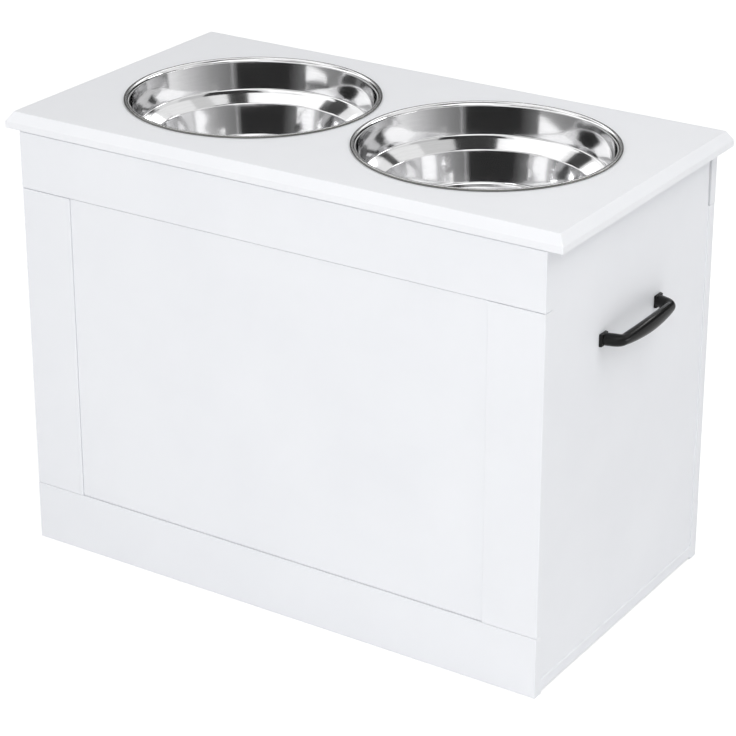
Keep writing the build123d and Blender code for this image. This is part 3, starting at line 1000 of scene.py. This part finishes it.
def softbox(name, azimuth, elevation, width, height, glow):
    """A soft lamp that faces the lid, as bright as white at a glow of 1.

    Shiny surfaces don't show it: they show the scrims in its place.
    """
    at = studio_place(azimuth, elevation, LAMP_DISTANCE)
    deselect()
    bpy.ops.object.light_add(type="AREA", location=at)
    lamp = bpy.context.object
    lamp.name = name
    lamp.data.shape = "RECTANGLE"
    lamp.data.size, lamp.data.size_y = width, height
    lamp.data.energy = glow * math.pi * width * height
    lamp.rotation_euler = (Vector((0, 0, lid_top)) - at).to_track_quat("-Z", "Y").to_euler()
    lamp.visible_glossy = False


softbox("front_softbox", 14, 22, 3.0, 2.0, 1.95)
softbox("right_softbox", 92, 50, 2.0, 2.0, 2.13)
softbox("back_softbox", 205, 6, 2.2, 1.6, 0.9)


def scrim_cloth(name, first, last, first_glow, last_glow):
    """Cloth whose glow changes from one end of the scrim to the other, by azimuth."""
    material, tree, shader = new_material(name)
    shader.inputs["Base Color"].default_value = (0, 0, 0, 1)
    shader.inputs["Roughness"].default_value = 1.0
    shader.inputs["Specular IOR Level"].default_value = 0.0
    shader.inputs["Emission Color"].default_value = WHITE
    shader.inputs["Emission Strength"].default_value = first_glow
    if first_glow != last_glow:
        link = tree.links.new
        axes = node(tree, "ShaderNodeSeparateXYZ")
        link(place(tree), axes.inputs["Vector"])
        front = node(tree, "ShaderNodeMath", operation="MULTIPLY")
        front.inputs[1].default_value = -1
        link(axes.outputs["Y"], front.inputs[0])
        turn = node(tree, "ShaderNodeMath", operation="ARCTAN2")
        link(axes.outputs["X"], turn.inputs[0])
        link(front.outputs["Value"], turn.inputs[1])
        glow = node(tree, "ShaderNodeMapRange")
        glow.inputs["From Min"].default_value = math.radians(first)
        glow.inputs["From Max"].default_value = math.radians(last)
        glow.inputs["To Min"].default_value = first_glow
        glow.inputs["To Max"].default_value = last_glow
        link(turn.outputs["Value"], glow.inputs["Value"])
        link(glow.outputs["Result"], shader.inputs["Emission Strength"])
    return material


SCRIM_DISTANCE = 3.6
# Each scrim of the list hangs this much nearer than the one before it, so it shows in front.
SCRIM_STEP = 0.01
# A cloth is bowed in steps of about this many degrees.
SCRIM_FACET = 4


def scrim(order, name, first, last, low, high, first_glow, last_glow):
    """A cloth bowed round the object and seen only in shiny surfaces.

    Azimuths from and to, elevations of its lower and upper edge there, and its glow at either end.
    """
    facets = max(2, round((last - first) / SCRIM_FACET))
    deselect()
    bpy.ops.mesh.primitive_grid_add(x_subdivisions=facets, y_subdivisions=1, size=1)
    cloth = added(name)
    first_low, last_low = low
    first_high, last_high = high
    for corner in cloth.data.vertices:
        along, up = corner.co.x + 0.5, corner.co.y + 0.5
        bottom = first_low + (last_low - first_low) * along
        top = first_high + (last_high - first_high) * along
        corner.co = studio_place(
            first + (last - first) * along, bottom + (top - bottom) * up, SCRIM_DISTANCE - SCRIM_STEP * order
        )
    cloth.data.materials.append(scrim_cloth(name + "_cloth", first, last, first_glow, last_glow))
    cloth.visible_camera = False
    cloth.visible_diffuse = False
    cloth.visible_shadow = False
    cloth.visible_transmission = False


def level(elevation):
    """An edge at the same elevation from end to end."""
    return (elevation, elevation)


SCRIMS = (
    ("back_flag", 148, 247, level(5), level(25), 0.03, 0.03),
    ("back_right_scrim", 114, 148, level(5), level(24), 0.25, 0.05),
    ("left_scrim", -113, -60, level(3), level(22), 0.22, 0.48),
    ("left_line", -105.5, -104.3, level(5), level(22), 1.3, 1.3),
    ("front_scrim", -60, 26, level(3), level(19.5), 0.5, 1.28),
    ("front_bright", -75, -15, level(19.5), level(31), 1.8, 1.8),
    ("left_bright", -111, -75, level(23.5), level(41), 1.4, 1.4),
    ("low_back_bright", 188, 240, level(26), level(34), 2.2, 2.2),
    ("back_grey", 145, 168, level(25), level(29), 0.5, 0.5),
    ("right_scrim", 28, 114, level(5), level(16), 0.32, 0.5),
    ("right_flag", 58, 118, (12.5, 16), level(22), 0.08, 0.08),
    ("right_window", 66, 114, (12.4, 14), (13.4, 18), 1.7, 1.6),
    ("front_flag", -42, 10, level(32), level(46), 0.03, 0.03),
    ("front_high_scrim", -15, 28, level(46), level(60), 1.0, 1.55),
    ("right_high_window", 26, 82, level(38), level(62), 1.9, 1.9),
    ("low_right_flag", 58, 74, level(22.5), level(35), 0.2, 0.2),
    ("right_band", 72, 100, level(30.5), level(37), 0.08, 0.08),
    ("left_band", -112, -85, level(41), level(49), 0.1, 0.1),
    ("left_flag", -127, -112, level(36), level(46.3), 0.06, 0.06),
    ("corner_flag", 166, 190, level(35), level(40), 0.08, 0.08),
    ("corner_flag_right", 145, 166, level(37.5), level(43), 0.12, 0.12),
    ("high_scrim", 140, 190, level(55), level(68), 0.72, 0.72),
    ("high_flag", 110, 216, level(68), level(84), 0.05, 0.05),
    ("left_high_scrim", -78, -30, level(60), level(71), 0.4, 0.6),
    ("left_high_window", -124, -80, level(49), level(66), 1.3, 1.65),
    ("left_higher_window", -144, -80, level(66), level(80), 1.25, 1.65),
    ("right_high_flag", 86, 130, level(62), level(72), 0.12, 0.12),
    ("handle_glint", 96, 122, level(-4), level(1.5), 11.0, 11.0),
    ("handle_line", 143, 166, level(29), level(34), 9.0, 9.0),
    ("overhead_flag", 0, 360, level(83), level(89.9), 0.06, 0.06),
)
for order, row in enumerate(SCRIMS):
    scrim(order, *row)

# What the camera looks at, from where in degrees and from how far in metres.
CAMERA_TARGET = Vector((2.165, -1.95, 271.65)) * MM
CAMERA_AZIMUTH = 33.047
CAMERA_ELEVATION = 22.47
CAMERA_DISTANCE = 2.40861
# In millimetres.
SENSOR_WIDTH = 36
LENS = 123.006
# As a share of the view's width.
LENS_SHIFT = -0.1
# How far it sees, in metres.
SEES_TO = 100


def studio_camera():
    """The camera of the main view."""
    azimuth, elevation = math.radians(CAMERA_AZIMUTH), math.radians(CAMERA_ELEVATION)
    flat = math.cos(elevation)
    away = Vector((math.sin(azimuth) * flat, -math.cos(azimuth) * flat, math.sin(elevation)))
    deselect()
    bpy.ops.object.camera_add(location=CAMERA_TARGET + away * CAMERA_DISTANCE)
    camera = bpy.context.object
    camera.name = "studio_camera"
    camera.rotation_euler = (-away).to_track_quat("-Z", "Y").to_euler()
    camera.data.sensor_width = SENSOR_WIDTH
    camera.data.lens = LENS
    camera.data.shift_y = LENS_SHIFT
    camera.data.clip_end = SEES_TO
    bpy.context.scene.camera = camera


studio_camera()
bpy.context.scene.view_settings.view_transform = "Standard"
